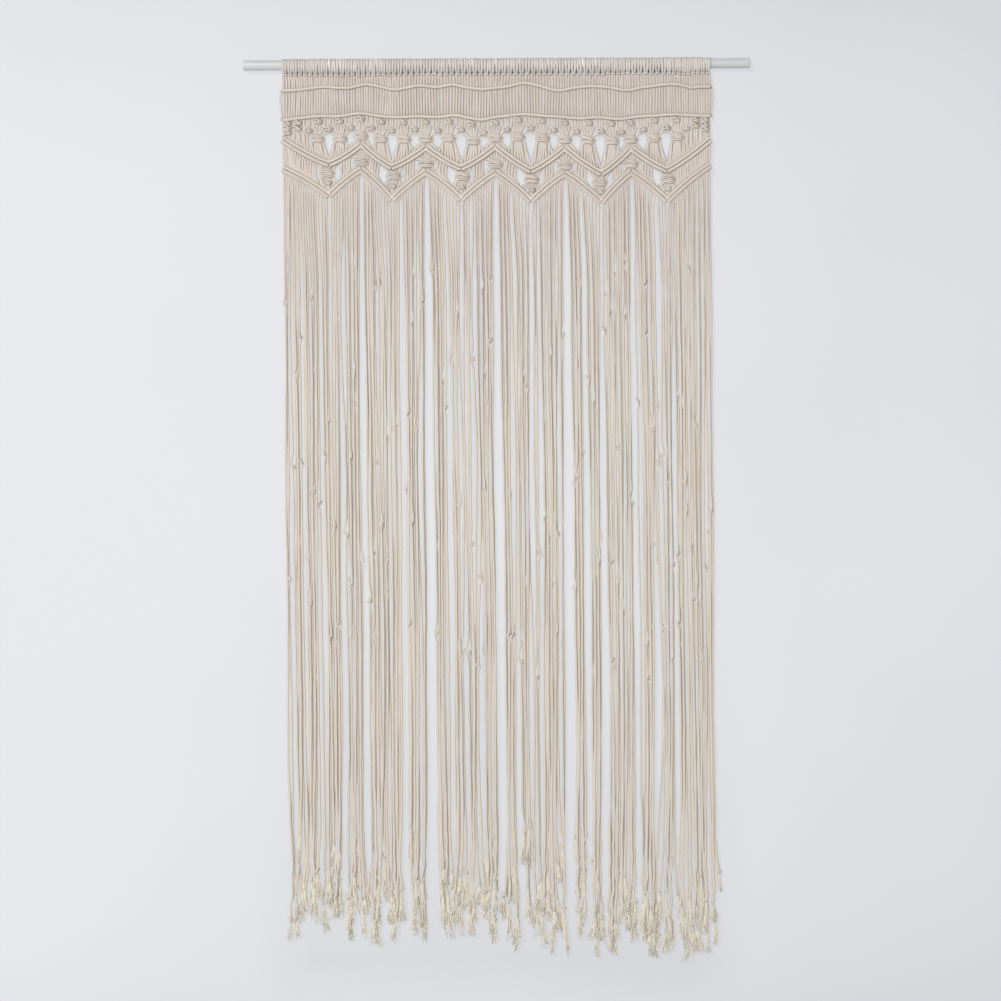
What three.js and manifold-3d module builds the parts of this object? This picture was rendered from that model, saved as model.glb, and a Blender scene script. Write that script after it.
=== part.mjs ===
// String curtain on a rod: a knotted cotton heading and 156 hanging strings.
// Millimetres. +X runs along the rod, +Z is up and the front faces -Y.
// The origin is on the rod's axis, halfway along it.

import * as THREE from 'three';
import { mergeVertices } from 'three/addons/utils/BufferGeometryUtils.js';
import Module from 'manifold-3d';

const wasm = await Module();
wasm.setup();

// Driving dimensions
const rodLength = 1000;
const rodDiameter = 20;
const rodSides = 18;
const rodEdge = 1.2;
const gap = 0.3;
const loopClearance = 0.35;
const loopFacing = [-35, 22, 90, 158, 215];
const cordCount = 156;
const strandDepth = 3.4;
const strandBack = 0.44;
const strandFill = 0.76;
const knotRowHeight = -20;
const firstBarHeight = -47;
const secondBarHeight = -104.5;
const barOverhang = 3;
const rippleStep = 6;
const fanDrop = 26;
const gatherDrop = 43;
const longestDrop = 1765;

// The turning points of the two zigzag bars, from the left edge to the right one.
// cord is the number of cords to the left, upper and lower are the bars' heights there.
const turns = [
  { cord: 0, x: -423, upper: -147, lower: -205 },
  { cord: 18, x: -332, upper: -196, lower: -258 },
  { cord: 30, x: -268, upper: -157, lower: -207 },
  { cord: 42, x: -208, upper: -203, lower: -267 },
  { cord: 54, x: -140, upper: -163, lower: -212 },
  { cord: 66, x: -71, upper: -205, lower: -267 },
  { cord: 78, x: -3, upper: -162, lower: -214 },
  { cord: 90, x: 67, upper: -211, lower: -271 },
  { cord: 102, x: 134, upper: -166, lower: -217 },
  { cord: 114, x: 206, upper: -217, lower: -273 },
  { cord: 126, x: 265, upper: -167, lower: -215 },
  { cord: 138, x: 336, upper: -211, lower: -271 },
  { cord: 156, x: 422, upper: -150, lower: -201 },
];
const valleyTurns = [1, 3, 5, 7, 9, 11];
const peakTurns = [2, 4, 6, 8, 10];
const fringeEdges = [0, ...peakTurns.map((turn) => turns[turn].cord), cordCount];

// How far the zigzag bars bow away from straight lines between their turns
const upperBow = -3.5;
const lowerBow = 3.5;

// The two long bars wander up and down: where, how far and over what reach.
const firstBarRipples = [
  { at: -415, rise: -3.5, reach: 35 },
  { at: -340, rise: 3.5, reach: 26 },
  { at: -256, rise: 8, reach: 26 },
  { at: -200, rise: -3, reach: 16 },
  { at: -150, rise: 5, reach: 24 },
  { at: -88, rise: 6.5, reach: 22 },
  { at: -28, rise: -2.5, reach: 20 },
  { at: 56, rise: 9, reach: 30 },
  { at: 122, rise: -6, reach: 24 },
  { at: 190, rise: 2, reach: 26 },
  { at: 256, rise: -6, reach: 24 },
  { at: 345, rise: 5.5, reach: 34 },
  { at: 384, rise: -3, reach: 12 },
];
const secondBarRipples = [
  { at: -425, rise: -4, reach: 30 },
  { at: -345, rise: 3, reach: 30 },
  { at: -270, rise: 8, reach: 36 },
  { at: -158, rise: 2, reach: 20 },
  { at: -84, rise: 3.5, reach: 18 },
  { at: -32, rise: -5.5, reach: 22 },
  { at: 54, rise: 5, reach: 34 },
  { at: 165, rise: -4, reach: 30 },
  { at: 240, rise: -5.5, reach: 30 },
  { at: 350, rise: 3, reach: 34 },
];

// Bar outlines seen from the end: depth is front to back, height from the bar's line.
const knotRowOutline = [
  { depth: -5.2, height: 3.3 },
  { depth: 5.2, height: 3.3 },
  { depth: 4.6, height: -3.3 },
  { depth: -4.6, height: -3.3 },
];
const longBarOutline = [
  { depth: -3.7, height: 0 },
  { depth: -2.5, height: 3.1 },
  { depth: 2.5, height: 3.1 },
  { depth: 3.7, height: 0 },
  { depth: 2.5, height: -3.1 },
  { depth: -2.5, height: -3.1 },
];
const doubleBarOutline = [
  { depth: -1.9, height: 0 },
  { depth: -3.7, height: 4.6 },
  { depth: -2.5, height: 8.8 },
  { depth: 2.5, height: 8.8 },
  { depth: 3.7, height: 4.6 },
  { depth: 1.9, height: 0 },
  { depth: 3.7, height: -4.6 },
  { depth: 2.5, height: -8.8 },
  { depth: -2.5, height: -8.8 },
  { depth: -3.7, height: -4.6 },
];
const lastRidgeOutline = [
  { depth: -3, height: gap / 2 },
  { depth: -3.7, height: 4.6 },
  { depth: -2.5, height: 8.8 },
  { depth: 2.5, height: 8.8 },
  { depth: 3.7, height: 4.6 },
  { depth: 3, height: gap / 2 },
];
const stringStripOutline = [
  { depth: -3, height: -gap / 2 },
  { depth: 3, height: -gap / 2 },
  { depth: 4.1, height: -4.6 },
  { depth: 3.8, height: -8.8 },
  { depth: -3.8, height: -8.8 },
  { depth: -4.1, height: -4.6 },
];
const ridgeOffset = 4.6;

// The cords of the plain band sway a little sideways where they pass the first bar.
const bandSway = [
  { reach: 1.4, rate: 0.21 },
  { reach: 0.8, rate: 0.53 },
];

// The flat gathers of eight cords: outline sizes at three heights
const gatherCords = 8;
const gatherLevels = [
  { height: 6, width: 31.5, depth: 4.4 },
  { height: -0.5, width: 28.5, depth: 7.8 },
  { height: -7.5, width: 28, depth: 4.4 },
];
const gatheredWidth = 12;
const gatheredOffset = 6.3;
const gatheredSink = 2;
const smallGatherScale = 0.72;
const firstGatherCord = 10;
const gatherCount = 17;
const halfGather = gatherCords / 2;
const wideFill = 0.84;
const fanWiden = 1.05;
const fanShift = 0.8;

// Strings: a triangular yarn, in a front and a back layer, on an even pitch at their roots
const evenPitch = 5.45;
const stringWidth = 4.1;
const stringDepth = 3.6;
const layerInset = 0.2;
const layerSpread = 0.55;
const loosenedHeight = -430;
const tuftWidth = 5.6;
const tuftDepth = 5;
const tuftLength = 34;
const tuftSway = 0.8;

// How far the strings wander sideways from string to string, and how the two layers differ
const stringSway = [
  { reach: 2, rate: 0.9, layerShift: 2.6 },
  { reach: 1.6, rate: 0.37, layerShift: 1.3 },
];

// Most tips end in one band, and the few above the common share are cut shorter.
// The tips come lower towards the right.
const commonShare = 0.86;
const tipLift = { common: 4, commonSpread: 84, short: 80, shortSpread: 780 };
const tipSlope = 24;

// A steady number from 0 to 1 for each string and purpose
function chance(item, purpose) {
  const wave = Math.sin(item * 12.9898 + purpose * 78.233) * 43758.5453;
  return wave - Math.floor(wave);
}

// The turning points on either side of a cord, and how far it lies between them
function spanAt(cord) {
  let first = 0;
  while (first < turns.length - 2 && cord > turns[first + 1].cord) {
    first += 1;
  }
  const left = turns[first];
  const right = turns[first + 1];
  return { left, right, share: (cord - left.cord) / (right.cord - left.cord) };
}

function xAt(cord) {
  const { left, right, share } = spanAt(cord);
  return left.x + (right.x - left.x) * share;
}

function zigzagAt(cord, key, bow) {
  const { left, right, share } = spanAt(cord);
  return left[key] + (right[key] - left[key]) * share + bow * 4 * share * (1 - share);
}

function upperBarAt(cord) {
  return zigzagAt(cord, 'upper', upperBow);
}

function lowerBarAt(cord) {
  return zigzagAt(cord, 'lower', lowerBow);
}

// The last ridge of the heading is the upper one of the lower zigzag's two.
function lastRidgeAt(cord) {
  return lowerBarAt(cord) + ridgeOffset;
}

function rippled(height, ripples, x) {
  return ripples.reduce(
    (sum, ripple) => sum + ripple.rise * Math.exp(-(((x - ripple.at) / ripple.reach) ** 2)),
    height,
  );
}

function knotRowAt() {
  return knotRowHeight;
}

function firstBarAt(cord) {
  return rippled(firstBarHeight, firstBarRipples, xAt(cord));
}

function secondBarAt(cord) {
  return rippled(secondBarHeight, secondBarRipples, xAt(cord));
}

// A closed body through outlines that all have the same number of points
function loft(outlines) {
  const sides = outlines[0].length;
  const last = (outlines.length - 1) * sides;
  const positions = outlines.flat().flatMap((point) => [point.x, point.y, point.z]);
  const triangles = [];
  for (let ring = 0; ring < last; ring += sides) {
    for (let side = 0; side < sides; side += 1) {
      const next = (side + 1) % sides;
      triangles.push([ring + side, ring + next, ring + sides + next]);
      triangles.push([ring + side, ring + sides + next, ring + sides + side]);
    }
  }
  for (let side = 1; side < sides - 1; side += 1) {
    triangles.push([0, side + 1, side]);
    triangles.push([last, last + side, last + side + 1]);
  }
  return solidFrom(positions, triangles);
}

function solidFrom(positions, triangles) {
  const corner = (index) => new THREE.Vector3().fromArray(positions, index * 3);
  const volume = triangles.reduce(
    (sum, [a, b, c]) => sum + corner(a).dot(corner(b).cross(corner(c))),
    0,
  );
  const facingOut = volume > 0 ? triangles : triangles.map(([a, b, c]) => [a, c, b]);
  const mesh = new wasm.Mesh({
    numProp: 3,
    vertProperties: Float32Array.from(positions),
    triVerts: Uint32Array.from(facingOut.flat()),
  });
  return new wasm.Manifold(mesh);
}

function joined(solids) {
  return solids.reduce((whole, solid) => whole.add(solid));
}

function geometryOf(solid) {
  const { vertProperties, triVerts } = solid.getMesh();
  const geometry = new THREE.BufferGeometry();
  geometry.setAttribute('position', new THREE.BufferAttribute(vertProperties, 3));
  geometry.setIndex(new THREE.BufferAttribute(triVerts, 1));
  geometry.computeVertexNormals();
  return geometry;
}

// A bar that runs from cord to cord, upright at every station
function bar(outline, stations) {
  return loft(
    stations.map((place) => (
      outline.map(({ depth, height }) => new THREE.Vector3(place.x, depth, place.z + height))
    )),
  );
}

function barStations(cords, heightAt) {
  return cords.map((cord) => ({ x: xAt(cord), z: heightAt(cord) }));
}

function evenCords(start, end, step) {
  const cords = [];
  for (let cord = start; cord < end; cord += step) {
    cords.push(cord);
  }
  cords.push(end);
  return cords;
}

function longBar(outline, heightAt, step) {
  const stations = barStations(evenCords(0, cordCount, step), heightAt);
  stations[0].x -= barOverhang;
  stations[stations.length - 1].x += barOverhang;
  return bar(outline, stations);
}

// Cords where a zigzag bar changes direction or bends between two turns
function zigzagCords(start, end) {
  const cords = turns.flatMap(({ cord }, index) => {
    const next = turns[index + 1];
    return next ? [cord, 2 * Math.round((cord + next.cord) / 4)] : [cord];
  });
  return cords.filter((cord) => cord >= start && cord <= end);
}

// Two cords side by side as one three-sided strand, with its ridge to the front
function strand(stations) {
  return loft(
    stations.map(({ x, z, width }) => [
      new THREE.Vector3(x - width / 2, strandDepth * strandBack, z),
      new THREE.Vector3(x + width / 2, strandDepth * strandBack, z),
      new THREE.Vector3(x, strandDepth * (strandBack - 1), z),
    ]),
  );
}

// Four cords side by side as one flat ribbon.
// rise is how much higher its right edge lies than its left one.
function ribbon(stations) {
  const back = strandDepth * strandBack;
  const front = back - strandDepth;
  return loft(
    stations.map(({ x, z, width, rise = 0 }) => [
      new THREE.Vector3(x - width / 2, back, z - rise / 2),
      new THREE.Vector3(x + width / 2, back, z + rise / 2),
      new THREE.Vector3(x + width / 2, front, z + rise / 2),
      new THREE.Vector3(x - width / 2, front, z - rise / 2),
    ]),
  );
}

// Some cords as wide as they lie side by side, where they meet a bar
function barStation(cord, cords, barAt) {
  const fill = cords > 2 ? wideFill : strandFill;
  const rise = (barAt(cord + cords) - barAt(cord)) * fill;
  const width = (xAt(cord + cords) - xAt(cord)) * fill;
  return { x: xAt(cord + cords / 2), z: barAt(cord + cords / 2), width, rise };
}

// Where two straight runs that touch the same circle meet, seen along the rod
function cornerAround(radius, from, to) {
  const reach = radius / Math.cos((to - from) / 2);
  const angle = (from + to) / 2;
  return { y: -reach * Math.cos(angle), z: reach * Math.sin(angle) };
}

// Where a run that touches the circle comes down to a height
function footOf(radius, angle, height) {
  return { y: -(radius - height * Math.sin(angle)) / Math.cos(angle), z: height };
}

// One lark's head loop: from the knot row up the front, over the rod and down the back
function rodLoop(pair) {
  const facing = loopFacing.map(THREE.MathUtils.degToRad);
  const inner = rodDiameter / 2 + loopClearance;
  const outer = inner + strandDepth;
  const { x, width } = barStation(pair * 2, 2, knotRowAt);
  const placesAt = (radius) => [
    footOf(radius, facing[0], knotRowHeight),
    ...facing.slice(1).map((to, index) => cornerAround(radius, facing[index], to)),
    footOf(radius, facing[facing.length - 1], knotRowHeight),
  ];
  const ridge = placesAt(outer);
  return loft(
    placesAt(inner).map(({ y, z }, index) => [
      new THREE.Vector3(x - width / 2, y, z),
      new THREE.Vector3(x + width / 2, y, z),
      new THREE.Vector3(x, ridge[index].y, ridge[index].z),
    ]),
  );
}

// The pair below one loop: from the knot row through the first bar to the second
function bandStrand(pair) {
  const cord = pair * 2;
  const middle = barStation(cord, 2, firstBarAt);
  middle.x += bandSway.reduce((sum, sway) => sum + sway.reach * Math.sin(cord * sway.rate), 0);
  return strand([barStation(cord, 2, knotRowAt), middle, barStation(cord, 2, secondBarAt)]);
}

// Four cords' place in their gather: side -1 is its left half and 1 its right half.
function gatheredStation(gatherX, side, z, scale) {
  return { x: gatherX + side * gatheredOffset * scale, z, width: gatheredWidth * scale };
}

function gatherSolid(x, z, scale) {
  return loft(
    gatherLevels.map(({ height, width, depth }) => {
      const half = (width * scale) / 2;
      const front = depth / 2;
      const level = z + height * scale;
      return [
        new THREE.Vector3(x - half, front, level),
        new THREE.Vector3(x - half, -front, level),
        new THREE.Vector3(x + half, -front, level),
        new THREE.Vector3(x + half, front, level),
      ];
    }),
  );
}

// One gather of the lattice with its cords, from the second bar to the zigzag bar
function latticeGather(index) {
  const start = firstGatherCord + gatherCords * index;
  const middle = start + halfGather;
  const gatherX = xAt(middle);
  const gatherZ = secondBarAt(middle) - gatherDrop;
  const halves = [-1, 1].flatMap((side) => {
    const cord = side < 0 ? start : middle;
    const top = barStation(cord, halfGather, secondBarAt);
    const fan = { x: top.x + side * fanShift, z: top.z - fanDrop, width: top.width * fanWiden };
    return [
      ribbon([top, fan, gatheredStation(gatherX, side, gatherZ + gatheredSink, 1)]),
      ribbon([
        gatheredStation(gatherX, side, gatherZ - gatheredSink, 1),
        barStation(cord, halfGather, upperBarAt),
      ]),
    ];
  });
  return [gatherSolid(gatherX, gatherZ, 1), ...halves];
}

// A small gather under a turn of the upper zigzag bar, with its cords
function turnGather(turn) {
  const { cord, x, upper, lower } = turns[turn];
  const gatherZ = (upper + lower) / 2;
  const halves = [-1, 1].flatMap((side) => {
    const start = side < 0 ? cord - halfGather : cord;
    return [
      ribbon([
        barStation(start, halfGather, upperBarAt),
        gatheredStation(x, side, gatherZ + gatheredSink, smallGatherScale),
      ]),
      ribbon([
        gatheredStation(x, side, gatherZ - gatheredSink, smallGatherScale),
        barStation(start, halfGather, lastRidgeAt),
      ]),
    ];
  });
  return [gatherSolid(x, gatherZ, smallGatherScale), ...halves];
}

// A plain strand straight down from one bar to another
function plainStrand(cord, barAbove, barBelow) {
  return strand([barStation(cord, 2, barAbove), barStation(cord, 2, barBelow)]);
}

function isNearTurn(cord) {
  return turns.slice(1, -1).some((turn) => Math.abs(cord + 1 - turn.cord) < halfGather);
}

function isInLattice(cord) {
  return cord >= firstGatherCord && cord < firstGatherCord + gatherCords * gatherCount;
}

function headerSolid() {
  const pairs = Array.from({ length: cordCount / 2 }, (_, pair) => pair);
  const firstCords = pairs.map((pair) => pair * 2);
  const outsideLattice = firstCords.filter((cord) => !isInLattice(cord));
  const betweenTurns = firstCords.filter((cord) => !isNearTurn(cord));
  const latticeGathers = Array.from({ length: gatherCount }, (_, index) => latticeGather(index));
  return joined([
    longBar(knotRowOutline, knotRowAt, cordCount),
    longBar(longBarOutline, firstBarAt, rippleStep),
    longBar(longBarOutline, secondBarAt, rippleStep),
    bar(doubleBarOutline, barStations(zigzagCords(0, cordCount), upperBarAt)),
    bar(lastRidgeOutline, barStations(zigzagCords(0, cordCount), lowerBarAt)),
    ...pairs.map(rodLoop),
    ...pairs.map(bandStrand),
    ...outsideLattice.map((cord) => plainStrand(cord, secondBarAt, upperBarAt)),
    ...latticeGathers.flat(),
    ...[...valleyTurns, ...peakTurns].flatMap(turnGather),
    ...betweenTurns.map((cord) => plainStrand(cord, upperBarAt, lastRidgeAt)),
  ]);
}

// How far a string has drifted sideways once it hangs free, and at its tuft
function driftAt(index) {
  const layer = index % 2;
  return stringSway.reduce(
    (sum, sway) => sum + sway.reach * Math.sin(index * sway.rate + layer * sway.layerShift),
    0,
  ) * pitchShareAt(index);
}

function tuftDriftAt(index) {
  return driftAt(index) + tuftSway * (chance(index, 1) - 0.5);
}

// How closely the strings stand here, against the even pitch
function pitchShareAt(index) {
  return Math.min(1, (xAt(index + 1) - xAt(index)) / evenPitch);
}

// The height of a string's tip
function tipHeightAt(index) {
  const pick = chance(index, 2);
  const lift = pick < commonShare
    ? tipLift.common + tipLift.commonSpread * pick
    : tipLift.short + tipLift.shortSpread * (pick - commonShare);
  return -longestDrop - tipSlope * (xAt(index) / xAt(cordCount)) + lift;
}

// One string: out of the strip, loosening into its layer, then straight down to its tuft
function stringSolid(index) {
  const side = index % 2 === 0 ? -1 : 1;
  const rootX = xAt(index + 0.5);
  const tipZ = tipHeightAt(index);
  const yarn = { inset: layerSpread, width: stringWidth, depth: stringDepth };
  const tuft = { inset: layerSpread, width: tuftWidth * pitchShareAt(index), depth: tuftDepth };
  const stations = [
    { ...yarn, x: rootX, z: lowerBarAt(index + 0.5) - ridgeOffset, inset: layerInset },
    { ...yarn, x: rootX + driftAt(index), z: loosenedHeight },
    { ...yarn, x: rootX + tuftDriftAt(index), z: tipZ + tuftLength },
    { ...tuft, x: rootX + tuftDriftAt(index), z: tipZ },
  ];
  return loft(
    stations.map(({ x, z, inset, width, depth }) => [
      new THREE.Vector3(x - width / 2, side * inset, z),
      new THREE.Vector3(x + width / 2, side * inset, z),
      new THREE.Vector3(x, side * (inset + depth), z),
    ]),
  );
}

// The strings of one V of the lower zigzag bar, from peak to peak, on their narrow strip
function fringeSolid(start, end) {
  const stations = barStations(zigzagCords(start, end), lowerBarAt);
  stations[0].x += gap / 2;
  stations[stations.length - 1].x -= gap / 2;
  const pieces = [bar(stringStripOutline, stations)];
  for (let index = start; index < end; index += 1) {
    pieces.push(stringSolid(index));
  }
  return joined(pieces);
}

// The rod: a plain round bar with its edges just broken
function rodGeometry() {
  const radius = rodDiameter / 2;
  const end = rodLength / 2;
  const outline = [
    new THREE.Vector2(0, -end),
    new THREE.Vector2(radius - rodEdge, -end),
    new THREE.Vector2(radius, -end + rodEdge),
    new THREE.Vector2(radius, end - rodEdge),
    new THREE.Vector2(radius - rodEdge, end),
    new THREE.Vector2(0, end),
  ];
  const geometry = new THREE.LatheGeometry(outline, rodSides);
  geometry.rotateZ(-Math.PI / 2);
  geometry.deleteAttribute('normal');
  geometry.deleteAttribute('uv');
  return mergeVertices(geometry);
}

const rodPaint = new THREE.MeshStandardMaterial({ color: 0xe9e9e6, roughness: 0.45, metalness: 0 });
const cotton = new THREE.MeshStandardMaterial({ color: 0xdfd6c7, roughness: 0.92, metalness: 0 });

function named(name, geometry, material) {
  const mesh = new THREE.Mesh(geometry, material);
  mesh.name = name;
  return mesh;
}

const curtain = new THREE.Group();
curtain.add(named('rod', rodGeometry(), rodPaint));
curtain.add(named('header', geometryOf(headerSolid()), cotton));
fringeEdges.slice(1).forEach((end, index) => {
  const fringe = geometryOf(fringeSolid(fringeEdges[index], end));
  curtain.add(named(`fringe_${index + 1}`, fringe, cotton));
});

export default curtain;
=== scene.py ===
import bpy
import math
import numpy as np
from mathutils import Matrix, Vector


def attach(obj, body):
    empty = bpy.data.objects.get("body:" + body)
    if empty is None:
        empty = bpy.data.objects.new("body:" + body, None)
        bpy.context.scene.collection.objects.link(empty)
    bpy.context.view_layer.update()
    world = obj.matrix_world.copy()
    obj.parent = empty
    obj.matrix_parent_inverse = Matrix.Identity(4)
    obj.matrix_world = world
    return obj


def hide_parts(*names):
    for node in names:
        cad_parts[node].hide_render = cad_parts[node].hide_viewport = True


# String curtain on its rod. Shapes are worked out in millimetres and turned into metres
# when a mesh is made: x runs along the rod, y goes back from the viewer, z is up.
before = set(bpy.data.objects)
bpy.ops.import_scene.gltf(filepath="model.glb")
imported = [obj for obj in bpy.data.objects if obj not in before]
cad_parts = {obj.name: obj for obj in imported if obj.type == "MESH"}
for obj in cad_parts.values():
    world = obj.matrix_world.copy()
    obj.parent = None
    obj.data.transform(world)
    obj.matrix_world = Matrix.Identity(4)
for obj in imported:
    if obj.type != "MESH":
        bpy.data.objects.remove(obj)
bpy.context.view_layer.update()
scene = bpy.context.scene
print("frame loaded:", ", ".join(sorted(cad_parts)))

toMetres = 0.001

layout = {
    "cords": 156,
    "rodLength": 1000,
    "rodDiameter": 20,
    "knotRow": -20,  # heights are from the rod's axis
    "firstBar": -47,
    "secondBar": -104.5,
    "barOverhang": 3,
    "upperBow": -3.5,  # how far a zigzag bar bows between two turns
    "lowerBow": 3.5,
    "ridgeGap": 3.7,  # from a zigzag bar's middle to each ridge
}
cordCount, ridgeGap = layout["cords"], layout["ridgeGap"]
allCords = range(cordCount)

# a row for each turn of the zigzag bars: cords to its left, x, heights of the two bars
turnRows = [
    (0, -423, -147, -205), (18, -332, -196, -258), (30, -268, -157, -207),
    (42, -208, -203, -267), (54, -140, -163, -212), (66, -71, -205, -267),
    (78, -3, -162, -214), (90, 67, -211, -271), (102, 134, -166, -217),
    (114, 206, -217, -273), (126, 265, -167, -215), (138, 336, -211, -271),
    (156, 422, -150, -201),
]
turns = [dict(zip(("cord", "x", "upper", "lower"), row)) for row in turnRows]
peakCords = [turn["cord"] for turn in turns[2:-1:2]]
valleyCords = [turn["cord"] for turn in turns[1::2]]
groupEdges = [0, *peakCords, cordCount]

# where a long bar wanders: x, how far up, over what reach
firstRipples = [
    (-415, -3.5, 35), (-340, 3.5, 26), (-256, 8, 26), (-200, -3, 16), (-150, 5, 24),
    (-88, 6.5, 22), (-28, -2.5, 20), (56, 9, 30), (122, -6, 24), (190, 2, 26),
    (256, -6, 24), (345, 5.5, 34), (384, -3, 12),
]
secondRipples = [
    (-425, -4, 30), (-345, 3, 30), (-270, 8, 36), (-158, 2, 20), (-84, 3.5, 18),
    (-32, -5.5, 22), (54, 5, 34), (165, -4, 30), (240, -5.5, 30), (350, 3, 34),
]


def chance(item, purpose):
    # from 0 to 1, and always the same for one item and purpose
    wave = math.sin(item * 12.9898 + purpose * 78.233) * 43758.5453
    return wave - math.floor(wave)


def spread(item, purpose, reach):
    return (2 * chance(item, purpose) - 1) * reach


def anyTurn(item, purpose):
    return 6.3 * chance(item, purpose)


def easeBetween(value, start, end):
    share = min(1, max(0, (value - start) / (end - start)))
    return share * share * (3 - 2 * share)


def spanAt(cord):
    first = 0
    while first < len(turns) - 2 and cord > turns[first + 1]["cord"]:
        first += 1
    left, right = turns[first], turns[first + 1]
    return left, right, (cord - left["cord"]) / (right["cord"] - left["cord"])


def xAt(cord):
    left, right, share = spanAt(cord)
    return left["x"] + (right["x"] - left["x"]) * share


def zigzagAt(cord, bar, bow):
    left, right, share = spanAt(cord)
    return left[bar] + (right[bar] - left[bar]) * share + bow * 4 * share * (1 - share)


def upperBarAt(cord):
    return zigzagAt(cord, "upper", layout["upperBow"])


def lowerBarAt(cord):
    return zigzagAt(cord, "lower", layout["lowerBow"])


def rippled(height, ripples, x):
    return height + sum(rise * math.exp(-((x - at) / reach) ** 2) for at, rise, reach in ripples)


def firstBarAt(cord):
    return rippled(layout["firstBar"], firstRipples, xAt(cord))


def secondBarAt(cord):
    return rippled(layout["secondBar"], secondRipples, xAt(cord))


def smoothPath(points, step):
    # an even run of places on a smooth curve through the points
    spots = np.asarray(points, float)
    before = np.vstack([2 * spots[0] - spots[1], spots[:-2]])
    after = np.vstack([spots[2:], 2 * spots[-1] - spots[-2]])
    run = []
    for p0, p1, p2, p3 in zip(before, spots[:-1], spots[1:], after):
        count = max(1, round(np.linalg.norm(p2 - p1) / step))
        t = (np.arange(count) / count)[:, None]
        run.append(0.5 * (2 * p1 + (p2 - p0) * t + (2 * p0 - 5 * p1 + 4 * p2 - p3) * t ** 2
                          + (3 * p1 - p0 - 3 * p2 + p3) * t ** 3))
    run.append(spots[-1:])
    return np.vstack(run)


class CordBundle:
    # many cords laid as tubes, made into one mesh at the end
    def __init__(self, sides):
        self.sides = sides
        self.spots, self.quads, self.caps, self.turns, self.tones = [], [], [], [], []
        self.count = 0

    def lay(self, path, radius, tone, start=0.0, flat=None):
        # start shifts the pattern of the twist along the cord
        # flat: directions in which the rings are pressed, and how much of their thickness is left
        path = np.asarray(path, float)
        rings, sides = len(path), self.sides
        runs = np.gradient(path, axis=0)
        runs /= np.linalg.norm(runs, axis=1)[:, None]
        side = np.cross(runs[0], (0.35, -0.93, 0.12))  # any direction that no cord starts along
        sideways = np.empty_like(path)
        for ring, run in enumerate(runs):
            side = side - run * np.dot(side, run)
            side /= np.sqrt(np.dot(side, side))
            sideways[ring] = side
        outwards = np.cross(runs, sideways)
        angles = np.arange(sides) * 2 * math.pi / sides
        radii = np.broadcast_to(np.asarray(radius, float), (rings,))[:, None, None]
        circle = (sideways[:, None] * np.cos(angles)[None, :, None]
                  + outwards[:, None] * np.sin(angles)[None, :, None]) * radii
        if flat is not None:
            ways, shares = flat
            pressed = np.sum(circle * ways[:, None], axis=2, keepdims=True) * ways[:, None]
            circle = circle - pressed * (1 - shares)[:, None, None]
        self.spots.append((path[:, None] + circle).reshape(-1, 3))
        ring, along = np.meshgrid(np.arange(rings - 1), np.arange(sides), indexing="ij")
        base = self.count + ring * sides
        near, far = base + along, base + (along + 1) % sides
        self.quads.append(np.stack([near, far, far + sides, near + sides], -1).reshape(-1, 4))
        lengths = start + np.concatenate([[0], np.cumsum(np.linalg.norm(np.diff(path, axis=0), axis=1))])
        low, high = lengths[ring] * toMetres, lengths[ring + 1] * toMetres
        left, right = along / sides, (along + 1) / sides
        self.turns.append(np.stack([left, low, right, low, right, high, left, high], -1).reshape(-1, 2))
        first = self.count + np.arange(sides)
        self.caps += [first[::-1], first + (rings - 1) * sides]
        self.tones.append(np.full(rings * sides, tone))
        self.count += rings * sides

    def mesh(self, name, material, node):
        spots = np.vstack(self.spots) * toMetres
        quads, caps = np.vstack(self.quads), np.vstack(self.caps)
        corners = np.concatenate([quads.ravel(), caps.ravel()])
        sizes = np.concatenate([np.full(len(quads), 4), np.full(len(caps), self.sides)])
        data = bpy.data.meshes.new(name)
        data.vertices.add(len(spots))
        data.vertices.foreach_set("co", spots.ravel())
        data.loops.add(len(corners))
        data.loops.foreach_set("vertex_index", corners)
        data.polygons.add(len(sizes))
        data.polygons.foreach_set("loop_start", np.concatenate([[0], np.cumsum(sizes)[:-1]]))
        data.update(calc_edges=True)
        data.shade_smooth()
        turned = data.uv_layers.new(name="cordRun")
        capTurns = np.zeros((len(caps) * self.sides, 2))
        turned.data.foreach_set("uv", np.vstack([*self.turns, capTurns]).ravel())
        toned = data.attributes.new("cordTone", "FLOAT", "POINT")
        toned.data.foreach_set("value", np.concatenate(self.tones))
        data.validate()
        addPiece(name, data, material, node)
        triangles = 2 * len(quads) + (self.sides - 2) * len(caps)
        print(name, "made,", triangles, "triangles")
        return triangles


def addPiece(name, data, material, node):
    piece = bpy.data.objects.new(name, data)
    scene.collection.objects.link(piece)
    data.materials.append(material)
    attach(piece, "root")
    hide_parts(node)


class Wire:
    # one shader socket, so that sums on it read as plain sums
    def __init__(self, finish, socket):
        self.finish, self.socket = finish, socket

    def maths(self, operation, *others):
        values = dict(enumerate((self, *others)))
        return self.finish.node("ShaderNodeMath", {"operation": operation}, values)

    def __add__(self, other):
        return self.maths("ADD", other)

    def __radd__(self, other):
        return self + other

    def __sub__(self, other):
        return self.maths("SUBTRACT", other)

    def __rsub__(self, other):
        return self * -1 + other

    def __mul__(self, other):
        return self.maths("MULTIPLY", other)

    def __rmul__(self, other):
        return self * other

    def __pow__(self, other):
        return self.maths("POWER", other)

    def size(self):
        return self.maths("ABSOLUTE")

    def part(self):
        return self.maths("FRACT")

    def held(self):
        return self.maths("MINIMUM", 1).maths("MAXIMUM", 0)


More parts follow.
